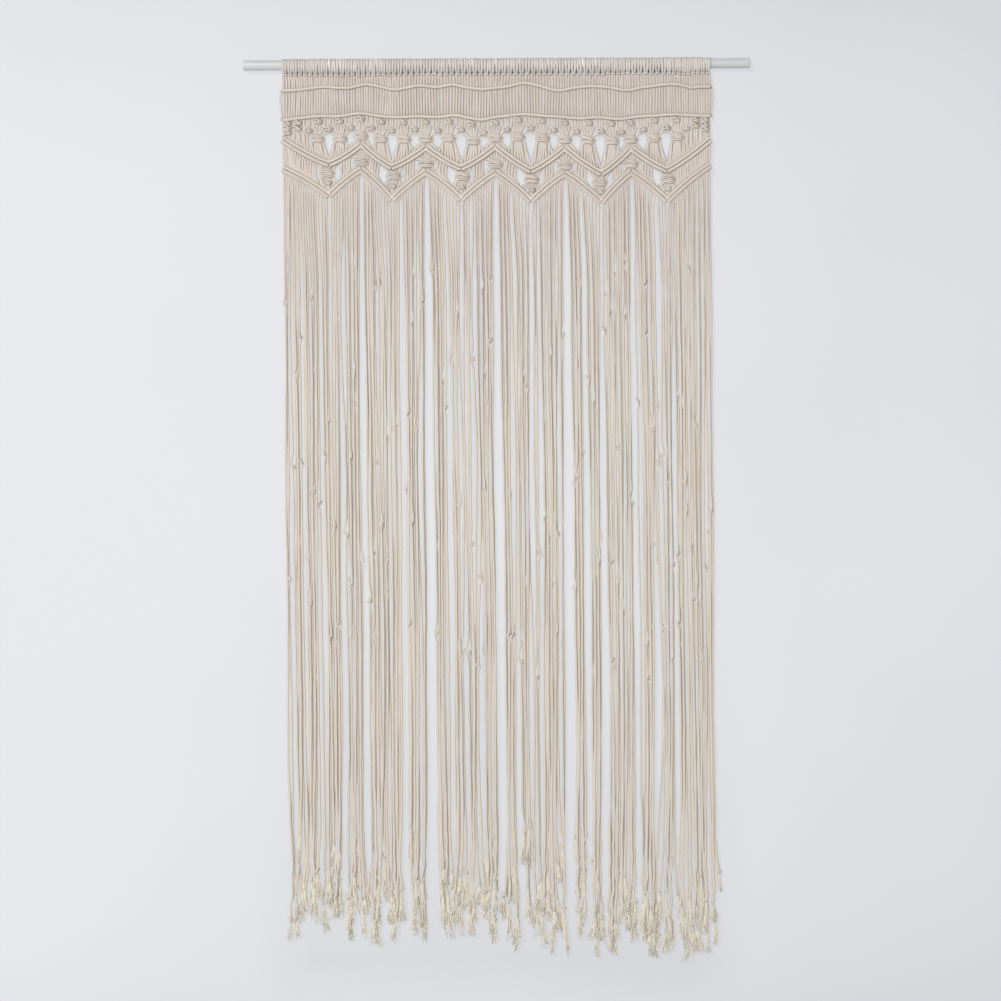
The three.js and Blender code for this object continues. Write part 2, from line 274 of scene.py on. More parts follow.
class Finish:
    def __init__(self, name):
        self.material = bpy.data.materials.new(name)
        self.material.use_nodes = True
        self.tree = self.material.node_tree
        self.tree.nodes.clear()

    def node(self, kind, settings=None, links=None, output=0):
        made = self.tree.nodes.new(kind)
        for key, value in (settings or {}).items():
            setattr(made, key, value)
        for key, value in (links or {}).items():
            if isinstance(value, Wire):
                self.tree.links.new(value.socket, made.inputs[key])
            else:
                made.inputs[key].default_value = value
        return Wire(self, made.outputs[output]) if made.outputs else None

    def mixed(self, share, first, second):
        first, second = (value if isinstance(value, Wire) else (*value, 1) for value in (first, second))
        # a Mix node's colour sockets share their names with others, so they go by number
        return self.node("ShaderNodeMix", {"data_type": "RGBA"}, {0: share, 6: first, 7: second}, output=2)

    def noise(self, vector, scale, detail, rough):
        return self.node("ShaderNodeTexNoise", links={
            "Vector": vector, "Scale": scale, "Detail": detail, "Roughness": rough})

    def place(self):
        return self.node("ShaderNodeTexCoord", output="Object")

    def axis(self, vector, name):
        return self.node("ShaderNodeSeparateXYZ", links={"Vector": vector}, output=name)

    def finished(self, surface):
        self.node("ShaderNodeOutputMaterial", links={"Surface": surface})
        return self.material


# the colour mixes: how much each cause counts, what is added, and the most that is mixed in
cottonLook = {
    "ply": (0.675, 0.612, 0.565),
    # painted shade in the grooves between the plies
    "grooveShade": (0.49, 0.412, 0.352),
    "warm": (0.715, 0.64, 0.545),
    "warmBy": {"cloud": 2.4, "tone": 0.9, "added": 0.12, "frayed": 0.25, "most": 0.7},
    "pale": (0.83, 0.80, 0.765),
    "paleBy": {"slub": 2.2, "tone": 0.7, "added": 0.1, "most": 0.6},
    "hung": (0.785, 0.72, 0.605),  # creamier, for the strings further down
    "hungBy": {"from": 0.26, "rate": 2.2, "tone": 0.25, "most": 0.5},
    "dust": (0.42, 0.355, 0.305),
    "freeOfDust": {"fibre": 0.22, "tone": 0.12, "added": 0.94},
    # painted shade: the colour laid on a cord's sides, as if in the creases between cords
    "creaseShade": (0.33, 0.265, 0.215),
    "creaseShaded": 0.82,  # how much painted shade darkens a cord's sides, where cords lie against each other
    "creaseShadeEdge": (1.5, 0.12),  # how fast the painted crease shade darkens, and how far round it starts
    "plies": 3,
    "lay": 0.0135,  # metres to one full turn of the plies
    "frayed": 0.0,  # 1 where the plies have come apart
    "plySoftness": 0.55,
    "fibre": (3.0, 4.0, 0.65),  # scale, detail and roughness of each noise
    "slub": (38.0, 2.0, 0.55),
    "cloud": (5.5, 2.0, 0.5),
    "fibreRun": (4, 160, 30),  # how fast they change round a cord, along it and between cords
    "relief": {"ply": 0.75, "fibre": 0.35, "slub": 0.25},
    "reliefStrength": 0.85,
    "reliefDepth": 0.00055,
    "roughness": 0.9,
    "roughSpread": 0.12,
    "sheen": 0.2,
    "sheenRoughness": 0.45,
    "specular": 0.18,
}


def cottonCord(name, look):
    finish = Finish(name)
    frayed = look["frayed"]
    turned = finish.node("ShaderNodeUVMap", {"uv_map": "cordRun"})
    place = finish.place()
    tone = finish.node("ShaderNodeAttribute", {"attribute_name": "cordTone"}, output="Fac")
    along = finish.axis(turned, "Y")
    # the plies turn round the cord
    phase = finish.axis(turned, "X") * look["plies"] + along * (look["plies"] / look["lay"]) + tone * 7
    across = phase.part() * 2 - 1
    ply = 1 - across * across
    aroundRate, alongRate, toneRate = look["fibreRun"]
    lie = finish.node("ShaderNodeCombineXYZ", links={
        "X": phase * aroundRate, "Y": along * alongRate, "Z": tone * toneRate})
    fibre = finish.noise(lie, *look["fibre"])
    slub = finish.noise(place, *look["slub"])
    cloud = finish.noise(place, *look["cloud"])
    height = ply * look["relief"]["ply"] + fibre * look["relief"]["fibre"] + slub * look["relief"]["slub"]
    relief = finish.node("ShaderNodeBump", links={
        "Strength": look["reliefStrength"], "Distance": look["reliefDepth"] * (1 - 0.5 * frayed),
        "Height": height})
    # painted shade: between the plies the colour goes to the groove shade; frayed plies get less of it
    lit = (ply ** look["plySoftness"] * (1 - 0.6 * frayed) + 0.6 * frayed).held()
    colour = finish.mixed(lit, look["grooveShade"], look["ply"])
    by = look["warmBy"]
    warmed = ((cloud - 0.5) * by["cloud"] + (tone - 0.5) * by["tone"] + by["added"]
              + by["frayed"] * frayed).held()
    colour = finish.mixed(warmed * by["most"], colour, look["warm"])
    by = look["paleBy"]
    paled = ((slub - 0.52) * by["slub"] + (0.5 - tone) * by["tone"] + by["added"]).held()
    colour = finish.mixed(paled * by["most"], colour, look["pale"])
    by = look["hungBy"]
    drop = finish.axis(place, "Z") * -1
    lower = ((drop - by["from"]) * by["rate"] + (tone - 0.5) * by["tone"]).held()
    colour = finish.mixed(lower * by["most"], colour, look["hung"])
    by = look["freeOfDust"]
    lighter = (by["added"] + (fibre - 0.5) * by["fibre"] + (tone - 0.5) * by["tone"]).held()
    colour = finish.mixed(1 - lighter, colour, look["dust"])
    # painted shade: where the surface turns away from the front, the colour goes to the crease shade
    facing = finish.axis(finish.node("ShaderNodeTexCoord", output="Normal"), "Y").size()
    steep, onset = look["creaseShadeEdge"]
    aside = ((1 - facing) * steep - onset).held()
    colour = finish.mixed(aside * look["creaseShaded"], colour, look["creaseShade"])
    rough = (look["roughness"] + (fibre - 0.5) * look["roughSpread"]).held()
    surface = finish.node("ShaderNodeBsdfPrincipled", links={
        "Base Color": colour, "Roughness": rough, "Normal": relief,
        "Sheen Weight": look["sheen"], "Sheen Roughness": look["sheenRoughness"],
        "Specular IOR Level": look["specular"],
    })
    return finish.finished(surface)


cordThick = {  # radii, mm
    "band": 3.0,
    "free": 2.95,  # between the knots of the heading
    "tied": 2.1,  # drawn tight inside a knot
    "bar": 1.9,
    "string": 2.42,
    "hanging": 2.32,  # a string is drawn thinner by its own weight
}


def toneOf(cord, purpose=11):
    # each cord has its own tone, from 0 to 1
    return 0.5 + spread(cord, purpose, 0.5)


squareKnotLook = {
    "crossings": 2,
    "crossingTall": 1.02,  # of one crossing, against half the knot's width
    "stillPast": 3,  # how far the still cords run on
    "stillDrawn": 0.94,
    "turnOut": 3.1,  # beyond the still cords, where a cord turns back
    "room": 1.2,  # at a crossing's ends
    "front": 3.9, "behind": 2.4,  # depths of a crossing and of a turn
    "slope": 0.55,
    "uneven": 0.45,
    "aside": 0.5, "lower": 0.6,  # how far a whole knot may lie off its place
}


def squareKnot(x, z, pairs, pitch):
    # Places for each cord of a flat square knot, from the left. The outer cords cross over and
    # under the still ones in the middle, and turn back round each other at the sides.
    look, crossings = squareKnotLook, squareKnotLook["crossings"]
    half, tall = pairs * pitch, pairs * pitch * look["crossingTall"]
    edge, front, depth = half + look["room"], half * 0.45, look["front"]
    ways = []
    for cord in range(4 * pairs):
        if pairs <= cord < 3 * pairs:
            lane, reach = (cord - 2 * pairs + 0.5) * pitch, crossings * tall / 2 + look["stillPast"]
            ways.append([(x + lane, 0.2, z + reach), (x + lane * look["stillDrawn"], 0.3, z),
                         (x + lane, 0.2, z - reach)])
            continue
        fromLeft = cord < pairs
        rank = cord if fromLeft else 4 * pairs - 1 - cord  # 0 is the outermost
        side, face = (-1, -1) if fromLeft else (1, 1)
        nest = ((pairs - 1) / 2 - rank) * pitch
        outer = half + look["turnOut"] + (pairs - 1 - rank) * pitch
        heights = [z + ((crossings - 1) / 2 - turn) * tall + (nest if turn % 2 == 0 else -nest)
                   + spread(x + 9 * cord, 63 + turn, look["uneven"]) for turn in range(crossings)]
        way = [(x + side * (half + 1.14 * pitch), 0.3 * face, heights[0] + 1.19 * pitch)]
        for turn, height in enumerate(heights):
            slope = look["slope"] * pitch * face * side / pairs
            way += [(x + side * edge, 2.4 * face, height + (0.9 if turn == 0 else 0.2)),
                    (x + side * front, depth * face, height + 0.2 + slope),
                    (x - side * front, depth * face, height - 0.2 - slope),
                    (x - side * edge, 2.0 * face, height - 0.3)]
            if turn < crossings - 1:
                way.append((x - side * outer, -look["behind"] * face, (height + heights[turn + 1]) / 2))
            side = -side
        way.append((x + side * (half + 1.14 * pitch), 0.3 * face, heights[-1] - 1.19 * pitch))
        ways.append(way)
    return ways


overhandLook = {"places": 13, "tall": 0.78, "wide": 0.72, "deep": 0.6}


def overhandKnot(x, y, z, size, turn):
    # a cord drawn through its own loop: places from the top down
    t = np.linspace(2, -2, overhandLook["places"])
    up = (t ** 3 - 3 * t) / 2 * overhandLook["tall"]
    out = (t ** 4 - 4 * t ** 2 + 2) / 2 * overhandLook["wide"]
    deep = (t ** 5 - 10 * t) / 12 * overhandLook["deep"]
    c, s = math.cos(turn), math.sin(turn)
    return [(x + size * (o * c - d * s), y + size * (o * s + d * c), z + size * u)
            for u, o, d in zip(up, out, deep)]


hitchLook = {
    "half": 4.0,  # half the height of a hitch
    "barDepth": -3.2,  # the hitches stand in front of the cords
    "ridgeDepth": -3.4,
    "fuller": 1.3,  # wraps press into each other
    "uneven": (0.15, 0.18),  # in depth and height
    "tone": (0.9, 0.5),  # the least, and how much it differs
    "places": 21,
}


def barRun(cord, barAt):
    # how far a bar runs and rises over 0.8 of a cord's room
    return xAt(cord + 0.9) - xAt(cord + 0.1), barAt(cord + 0.9) - barAt(cord + 0.1)


def hitches(bundle, cords, barAt, offset, depth):
    # a double half hitch of each cord round a bar
    look = hitchLook
    for cord in cords:
        x, z = xAt(cord + 0.5), barAt(cord + 0.5)
        runX, runZ = barRun(cord, barAt)
        length = math.hypot(runX, runZ)
        along = np.array([runX, 0, runZ]) / length
        up = np.array([-along[2], 0, along[0]])
        pitch = length / 0.8 / 2  # two wraps for each cord
        thick = pitch / 2 * look["fuller"]
        turn = np.linspace(-0.5, 3.5, look["places"]) * math.pi
        centre = (np.array([x, depth + spread(cord, 21, look["uneven"][0]), z])
                  + up * (offset + spread(cord, 22, look["uneven"][1])))
        reach = look["half"] - thick
        path = (centre + np.outer(turn / math.pi / 2 - 0.75, along) * pitch
                + np.outer(-np.cos(turn), up) * reach
                + np.outer(np.sin(turn), (0, -1, 0)) * reach)
        tone = look["tone"][0] + look["tone"][1] * toneOf(cord, 12)
        bundle.lay(path, thick, tone, start=cord * 17)


rodLook = {
    "sides": 64,
    "rings": 60,  # along the bar
    "endLength": 6,  # from each end to the first of them
    "edge": 1.2,  # how far the ends are rounded off
    "paint": (0.655, 0.655, 0.65),
    "shade": (0.55, 0.55, 0.548),
    "lighter": (0.93, 0.93, 0.925),  # painted light: whiter where the loops cover it, so that the gaps between them read bright
    "coveredTo": 0.422,  # to each side, in metres
    "scuff": (0.52, 0.51, 0.48),
    "grain": (260.0, 4.0, 0.6),  # scale, detail and roughness of each noise
    "cloud": (9.0, 3.0, 0.5),
    "scuffs": (90.0, 3.0, 0.7),
    "stretch": (0.15, 1, 1),  # grain and scuffs run along the bar
    "reliefStrength": 0.4,
    "reliefDepth": 0.0003,
    "roughness": 0.42,
}


def rodPaint():
    look, finish = rodLook, Finish("whitePaint")
    place = finish.place()
    stretched = finish.node("ShaderNodeMapping", links={"Vector": place, "Scale": look["stretch"]})
    grain = finish.noise(stretched, *look["grain"])
    cloud = finish.noise(place, *look["cloud"])
    scuffs = ((finish.noise(stretched, *look["scuffs"]) - 0.62) * 7).held()
    colour = finish.mixed((cloud * 0.9 + grain * 0.3 - 0.35).held(), look["shade"], look["paint"])
    colour = finish.mixed(scuffs * 0.35, colour, look["scuff"])
    # painted light: the paint turns whiter within this reach of the middle, where the loops hang
    litUnderLoops = ((look["coveredTo"] - finish.axis(place, "X").size()) * 300).held()
    colour = finish.mixed(litUnderLoops, colour, look["lighter"])
    rough = (look["roughness"] + scuffs * 0.2 + (grain - 0.5) * 0.1).held()
    relief = finish.node("ShaderNodeBump", links={
        "Strength": look["reliefStrength"], "Distance": look["reliefDepth"],
        "Height": grain * 0.5 + cloud})
    surface = finish.node("ShaderNodeBsdfPrincipled", links={
        "Base Color": colour, "Roughness": rough, "Normal": relief,
    })
    return finish.finished(surface)


def makeRod():
    sides, edge = rodLook["sides"], rodLook["edge"]
    radius, half = layout["rodDiameter"] / 2, layout["rodLength"] / 2
    rings = [(-half, radius - edge), (-half + edge * 0.12, radius - edge * 0.5),
             (-half + edge * 0.45, radius - edge * 0.14), (-half + edge, radius)]
    inner = half - rodLook["endLength"]
    body = [(x, radius) for x in np.linspace(-inner, inner, rodLook["rings"])]
    rings = rings + body + [(-x, r) for x, r in rings[::-1]]
    spots = [Vector((x, math.cos(a) * r, math.sin(a) * r)) * toMetres for x, r in rings
             for a in np.arange(sides) * 2 * math.pi / sides]
    faces = []
    for ring in range(len(rings) - 1):
        for side in range(sides):
            near, far = ring * sides + side, ring * sides + (side + 1) % sides
            faces.append([near + sides, far + sides, far, near])
    last = (len(rings) - 1) * sides
    faces += [range(sides), range(last, last + sides)[::-1]]
    data = bpy.data.meshes.new("rodBar")
    data.from_pydata(spots, [], faces)
    data.validate()
    for face in data.polygons:
        face.use_smooth = len(face.vertices) == 4
    addPiece("rodBar", data, rodPaint(), "rod")
    print("rodBar made")


makeRod()

# loops of doubled cord over the rod, each drawn through its own bend
loopLook = {
    "radius": 2.75,
    "legOut": 11.4,  # how far the legs stand out before the rod's axis
    "bendWide": 1.85,
    "tilt": 1.8,
    "uneven": 1.2,  # in the height of the bends
    "lift": 0.6,
    "pressed": 0.38,  # what is left of a cord's thickness on the rod
    "thinner": 0.1,
    "squeezed": 0.3,  # how much thinner a cord is in the bend
    "step": 3.4,
}
# painted light: a paler copy of the same cotton for the loops over the rod, which catch more light, with
# less painted crease shade
litLoopCotton = cottonCord("litLoopCotton", {
    **cottonLook, "ply": (0.71, 0.665, 0.622), "warm": (0.70, 0.645, 0.575), "creaseShaded": 0.28})


def loopLeg(apart, drop, lift):
    # half a loop, from its hanging end over the rod and round behind it to the bend
    out, wide = loopLook["legOut"], loopLook["bendWide"]
    return [
        (apart, 0.2, drop - 9), (wide, -1.6, drop - 3.2), (wide, -2.6, drop + 1),
        (apart * 0.97, -7.5, drop + 8.5), (apart, -out, drop + 17.5), (apart, -9.9, 5.2),
        (apart, -5.0, 9.6 + lift), (apart, 0.6, 10.8 + lift), (apart, 6.3, 8.9 + lift), (apart, 10.7, 3.6),
        (apart + 0.1, 11.2, -4), (apart + 0.3, 7.6, -11), (apart + 0.8, 2.6, drop + 2.6),
        (apart + 0.8, -2.4, drop - 0.1), (apart, -5.6, drop - 0.9),
    ]


def makeLoops():
    loops = CordBundle(6)
    for pair in range(cordCount // 2):
        middle = xAt(2 * pair + 1) + spread(pair, 30, 0.3)
        apart = (xAt(2 * pair + 2) - xAt(2 * pair)) / 4
        tilt = spread(pair, 31, loopLook["tilt"])
        drop = layout["knotRow"] + spread(pair, 32, loopLook["uneven"])
        leg = loopLeg(apart, drop, loopLook["lift"] * chance(pair, 34))
        left = [(middle - x + tilt * (z + 20) / 32, y, z) for x, y, z in leg]
        right = [(middle + x + tilt * (z + 20) / 32, y, z) for x, y, z in leg[::-1]]
        path = smoothPath(left + [(middle, -6.3, drop - 1.2)] + right, loopLook["step"])
        squeezed = 1 - loopLook["squeezed"] * np.exp(-((path[:, 2] - drop) / 5) ** 2)
        outwards = path * (0, 1, 1)
        outwards /= np.linalg.norm(outwards, axis=1)[:, None]
        bearing = np.clip((path[:, 2] + 8) / 8, 0, 1)  # the loop lies flat where it bears on the rod
        radii = (loopLook["radius"] - loopLook["thinner"] * bearing) * squeezed
        radii = radii * (0.9 + 0.2 * chance(pair, 33))
        flat = outwards, 1 - (1 - loopLook["pressed"]) * bearing
        loops.lay(path, radii, 0.6 * toneOf(pair, 13), start=pair * 23, flat=flat)
    return loops.mesh("rodLoops", litLoopCotton, "header")


# the plain band between the loops and the second bar
bandLook = {
    "sway": [(1.4, 0.21), (0.8, 0.53)],  # reach and rate of each wave from cord to cord
    "uneven": 0.45,
    "bow": 0.6,
    "underLoop": (2.25, 2.6),  # from a pair's middle, at the bend and a little lower
    "step": 5.5,
}
bandCotton = cottonCord("cottonCord", cottonLook)


def makeBand():
    band = CordBundle(6)
    top, lowerDown = bandLook["underLoop"]
    for cord in allCords:
        x, upper, lower = xAt(cord + 0.5), firstBarAt(cord + 0.5), secondBarAt(cord + 0.5)
        side = -1 if cord % 2 == 0 else 1
        pairMiddle = xAt(2 * (cord // 2) + 1)
        swayed = x + spread(cord, 41, bandLook["uneven"]) + sum(
            reach * math.sin(cord * rate) for reach, rate in bandLook["sway"])
        bow = spread(cord, 42, bandLook["bow"])
        path = smoothPath([
            (pairMiddle + side * top, -2.0, layout["knotRow"] - 1),
            ((pairMiddle + side * lowerDown + swayed) / 2, -0.2, layout["knotRow"] - 10),
            (swayed, 0, upper + 5), (swayed, 0, upper - 6),
            ((swayed + x) / 2 + bow, -0.2 + spread(cord, 43, 0.5), (upper + lower) / 2),
            (x, 0, lower + 7), (x, 0, lower),
        ], bandLook["step"])
        band.lay(path, cordThick["band"], toneOf(cord), start=cord * 31)
    return band.mesh("bandCords", bandCotton, "header")


# the two long bars, each hitched over a carrier cord, and the cords down the heading's edges
longBarLook = {
    "carrierDepth": -3.4,
    "endDepth": -1.0,
    "carrierEvery": 3,  # cords from place to place along a carrier
    "carrierStep": 9,
    "edgeStep": 5,
    "leftBulge": 1.4,
    "rightBulge": 0.8,
}
# painted light: a lighter copy of the same cotton for the bars, ridges and edge cords, as if the raised
# wraps caught more light
litBarCotton = cottonCord("litBarCotton", {
    **cottonLook, "ply": (0.785, 0.722, 0.655), "warm": (0.79, 0.72, 0.61)})


def makeLongBars():
    look, last, overhang = longBarLook, cordCount, layout["barOverhang"]
    bars, endDepth = CordBundle(6), look["endDepth"]
    for barAt, purpose in ((firstBarAt, 51), (secondBarAt, 52)):
        hitches(bars, allCords, barAt, 0, hitchLook["barDepth"])
        inner = [(xAt(cord), look["carrierDepth"], barAt(cord))
                 for cord in range(0, last + 1, look["carrierEvery"])]
        carrier = [(xAt(0) - overhang, endDepth, barAt(0) - 0.5), *inner,
                   (xAt(last) + overhang, endDepth, barAt(last) - 0.5)]
        bars.lay(smoothPath(carrier, look["carrierStep"]), cordThick["bar"], toneOf(purpose))
    for end, outwards, bulge in ((0, -1, look["leftBulge"]), (last, 1, look["rightBulge"])):
        x, top, low = xAt(end) + outwards * overhang, firstBarAt(end), secondBarAt(end)
        edge = [(x, endDepth, top - 0.5), (x + outwards * bulge, -0.6, top - 12),
                (x + outwards * (bulge - 0.6), 0, top - 34), (x - outwards * 1.2, 0.2, low + 12),
                (x - outwards * 0.4, endDepth, low + 0.5)]
        bars.lay(smoothPath(edge, look["edgeStep"]), cordThick["bar"], toneOf(end, 53))
    return bars.mesh("longBars", litBarCotton, "header")


def ridgeLean(cord, barAt):
    # how far a cord points sideways where it crosses a sloping bar at right angles
    run, rise = barRun(cord, barAt)
    return rise / math.hypot(run, rise)


def fromPeak(cord):
    return min(abs(cord + 0.5 - peak) for peak in groupEdges)


hookReach = {"falling": 9, "rising": 1}


def hookAt(cord, barAt):
    # a cord swings out below a ridge that falls to the right, hardly below one that rises
    lean = ridgeLean(cord, barAt)
    fromLow = min(abs(cord + 0.5 - low) for low in valleyCords)
    reach = hookReach["falling" if lean < 0 else "rising"]
    return lean * reach * min(1, max(0, fromPeak(cord) - 2) / 3, fromLow / 4)


def tie(ways, tied, cords, x, z, pitch):
    # adds one square knot to the ways of its cords
    look = squareKnotLook
    x, z = x + spread(x, 61, look["aside"]), z + spread(x, 62, look["lower"])
    for cord, way in zip(cords, squareKnot(x, z, len(cords) // 4, pitch)):
        ways[cord] += way
        tied[cord].append((z, pitch * (look["crossings"] * len(cords) / 8 + 1)))


def thickAlong(path, knots):
    # a cord is thinner where a knot draws it tight
    tight = sum(np.exp(-((path[:, 2] - height) / reach) ** 4) for height, reach in knots)
    return cordThick["free"] - (cordThick["free"] - cordThick["tied"]) * np.minimum(1, tight)


def layTied(name, ways, tied, step, shift):
    cords = CordBundle(6)
    for cord, way in ways.items():
        path = smoothPath(way, step)
        cords.lay(path, thickAlong(path, tied[cord]), toneOf(cord), start=cord * shift)
    return cords.mesh(name, knottedCotton, "header")


# gathers: small knots under the second bar, joined between neighbours, then one flat knot of
# eight cords for each gather; heights are below the second bar
gatherLook = {
    "firstCord": 10,
    "count": 17,
    "smallKnot": 10.5, "joinKnot": 26, "bigKnot": 44,
    "smallPitch": 4.1, "bigPitch": 3.6,
    "split": 22, "splitWide": [9.3, 3.5],  # the small knot's cords part here and meet again
    "edgeKnots": [7, 17, 26], "sideKnots": [9, 20],
    "rest": 16.5,  # a big knot keeps this far above the zigzag bar
    "aside": 1.6,  # beside a low point it gives way by this much
    "fan": (1.2, 13), "root": (2.5, 1),  # lean, and height above the bar or its ridge
    "step": 3.2,
}
# the knots get a slightly lighter copy of the cotton, with stronger painted crease shade
knottedCotton = cottonCord("knottedCotton", {
    **cottonLook, "ply": (0.715, 0.648, 0.592), "creaseShaded": 0.95, "creaseShadeEdge": (2.0, 0.5)})


def tieGathers(ways, tied):
    look, last = gatherLook, cordCount
    starts = range(look["firstCord"], look["firstCord"] + 8 * look["count"], 8)
    for start in starts:
        middle, top = xAt(start + 4), secondBarAt(start + 4)
        tie(ways, tied, range(start + 2, start + 6), middle, top - look["smallKnot"], look["smallPitch"])
        for away, wide in enumerate(look["splitWide"]):
            ways[start + 2 + away].append((middle - wide, -0.5, top - look["split"]))
            ways[start + 5 - away].append((middle + wide, -0.5, top - look["split"]))
    for edge in (*starts, starts[-1] + 8):
        tie(ways, tied, range(edge - 2, edge + 2), xAt(edge), secondBarAt(edge) - look["joinKnot"],
            look["smallPitch"])
    for start in starts:
        middle = start + 4
        height = max(secondBarAt(middle) - look["bigKnot"], upperBarAt(middle) + look["rest"])
        side = 1 if start in valleyCords else -1 if start + 8 in valleyCords else 0
        tie(ways, tied, range(start, start + 8), xAt(middle) + side * look["aside"], height,
            look["bigPitch"])
    # columns of small knots at both ends of the row
    columns = (0, "edgeKnots"), (4, "sideKnots"), (last - 8, "sideKnots"), (last - 4, "edgeKnots")
    for start, drops in columns:
        for drop in look[drops]:
            tie(ways, tied, range(start, start + 4), xAt(start + 2), secondBarAt(start + 2) - drop,
                look["smallPitch"])


def makeGathers():
    look = gatherLook
    ways = {cord: [(xAt(cord + 0.5), 0, secondBarAt(cord + 0.5))] for cord in allCords}
    tied = {cord: [] for cord in ways}
    tieGathers(ways, tied)
    (fanLean, fanUp), (rootLean, rootUp) = look["fan"], look["root"]
    for cord, way in ways.items():
        x, bar = xAt(cord + 0.5), upperBarAt(cord + 0.5)
        lean = ridgeLean(cord, upperBarAt)
        if len(way) == 1:
            way.append((x + spread(cord, 64, 0.5), -0.2, (way[0][2] + bar) / 2 + 4))
        way += [(x - lean * fanLean, 0, bar + fanUp), (x - lean * rootLean, 0, bar + ridgeGap + rootUp)]
    return layTied("gatherCords", ways, tied, look["step"], 37)


def makeRidges(name, barAt, offsets):
    ridges = CordBundle(6)
    for offset in offsets:
        hitches(ridges, allCords, barAt, offset, hitchLook["ridgeDepth"])
    return ridges.mesh(name, litBarCotton, "header")


# between the zigzag bars: a flat knot of eight cords under each peak, and one of eight with one
# of four below it under each low point
middleLook = {
    "peakKnot": 16.5, "peakPitch": 3.9,
    "lowKnot": 17, "lowPitch": 3.9, "underKnot": 37, "underPitch": 3.6,
    "lowAside": [-3.4, 3.4, 3, 2.2, -2.6, 3],  # the knots under each low point lean to one side
    "leaving": (1.5, 1),  # lean and drop where a cord leaves the upper bar
    "hooked": (0.8, 8),  # share of its hook, and drop, further down
    "meeting": (2.5, 5), "root": (1.5, 0),  # lean and height above the lower bar's ridge
    "step": 3.2,
}


def startMiddle(cord):
    # where a cord comes out of the upper bar
    x, below = xAt(cord + 0.5), upperBarAt(cord + 0.5) - ridgeGap
    leaveLean, leaveDrop = middleLook["leaving"]
    hookShare, hookDrop = middleLook["hooked"]
    way = [(x + ridgeLean(cord, upperBarAt) * leaveLean, 0, below - leaveDrop)]
    if all(abs(cord + 0.5 - low) > 4 for low in valleyCords):
        way.append((x + hookAt(cord, upperBarAt) * hookShare, -0.4, below - hookDrop))
    return way


def makeMiddle():
    look = middleLook
    ways = {cord: startMiddle(cord) for cord in allCords}
    tied = {cord: [] for cord in ways}
    for peak in peakCords:
        tie(ways, tied, range(peak - 4, peak + 4), xAt(peak), lowerBarAt(peak) + look["peakKnot"],
            look["peakPitch"])
    for low, aside in zip(valleyCords, look["lowAside"]):
        bar = upperBarAt(low)
        tie(ways, tied, range(low - 4, low + 4), xAt(low) + aside, bar - look["lowKnot"], look["lowPitch"])
        tie(ways, tied, range(low - 2, low + 2), xAt(low) + aside * 0.5, bar - look["underKnot"],
            look["underPitch"])
    (meetLean, meetUp), (rootLean, rootUp) = look["meeting"], look["root"]
    for cord, way in ways.items():
        x, bar = xAt(cord + 0.5), lowerBarAt(cord + 0.5)
        lean, ridge = ridgeLean(cord, lowerBarAt), bar + ridgeGap
        if len(way) == 2:
            hung = x + hookAt(cord, upperBarAt) + spread(cord, 65, 0.6)
            way.append((hung, -0.4, (way[0][2] + bar) / 2 - 3))
        way += [(x - lean * meetLean, 0, ridge + meetUp), (x - lean * rootLean, 0, ridge + rootUp)]
    return layTied("middleCords", ways, tied, look["step"], 41)


# hanging strings: two layers that gather into loose bunches further down
hangLook = {
    "longestDrop": 1765,
    "tipSlope": 24,  # the tips hang this much lower at the right end
    "tipRise": (4, 108),  # how far above that most tips are
    "shortTips": (0.86, 97, 720),  # the other tips start higher and rise faster
    "spacing": 22,  # between the places of a string's way
    "step": 11,  # between its rings
    "layerDepth": 2.1,
    "breaks": [2, 14, 45, 61, 92, 114, 123, 140],  # where bunches part, besides the peaks
    "bunch": (4, 5),  # the fewest strings in a bunch, and how many more there may be
    "lean": 5,  # all strings hang this much to the right by the end
    "free": (225, 560),  # depths between which a string gets free of its neighbours
    "loose": (1.3, 1300, 1700),  # how much looser it hangs, and between which depths
    "curl": (11, 190),  # how far the last stretch curls, and its length
    "kinks": (1.6, 1480, 1650),
    "thinned": (230, 200),  # from which depth it is drawn thinner, and over what length
    "fuller": (0.48, 1200, 400),  # and how much it loosens again, from where, over what length
    "lumps": [(0.05, 41, 1), (0.04, 13, 2)],  # height, length, and difference from cord to cord
}

# waves of a string: reach, length, how much longer it may be, and two purposes
stringWaves = [(0.9, 70, 50, 73, 74), (0.28, 14, 9, 71, 72), (1.4, 230, 160, 75, 76)]

# height of each level, spacing in a bunch there, and how far a bunch drifts
bunchLevels = [(-310, 5.15, 0.3), (-450, 4.65, 0.8), (-800, 4.3, 1.2), (-1300, 4.15, 2.0), (-1720, 4.2, 4.0)]

# where the strings part: x, how far each side moves, over what reach, height where it is full
partings = [
    (-352, 2.0, 14, -850), (-334, 1.8, 5, -290), (-268, 3.3, 8, -210), (-190, 2.0, 14, -600),
    (-140, 3.2, 8, -210), (-142, 3.6, 24, -620), (-103, 2.0, 12, -980), (-3, 3.4, 8, -210),
    (67, 1.8, 6, -210), (133, 4.6, 26, -800), (134, 2.8, 7, -210), (204, 2.5, 16, -1150),
    (265, 2.0, 6, -210), (272, 2.4, 20, -900),
]

stringKnotLook = {
    "size": 4.4,
    "share": 0.72,  # of the strings carry a small knot on the way down
    "first": (-390, 840),  # the highest place for it, and over what drop it may be
    "second": (-400, 820),
    "clear": 60,  # the least room between two knots and above the tuft
    "endShare": 0.4,  # of the strings have a knot above the tuft
    "endSize": 0.92,
}
hungCotton = cottonCord("hungCotton", {
    **cottonLook, "ply": (0.695, 0.632, 0.582), "grooveShade": (0.485, 0.41, 0.345), "creaseShaded": 0.0,
    "lay": 0.0175, "reliefDepth": 0.0008})

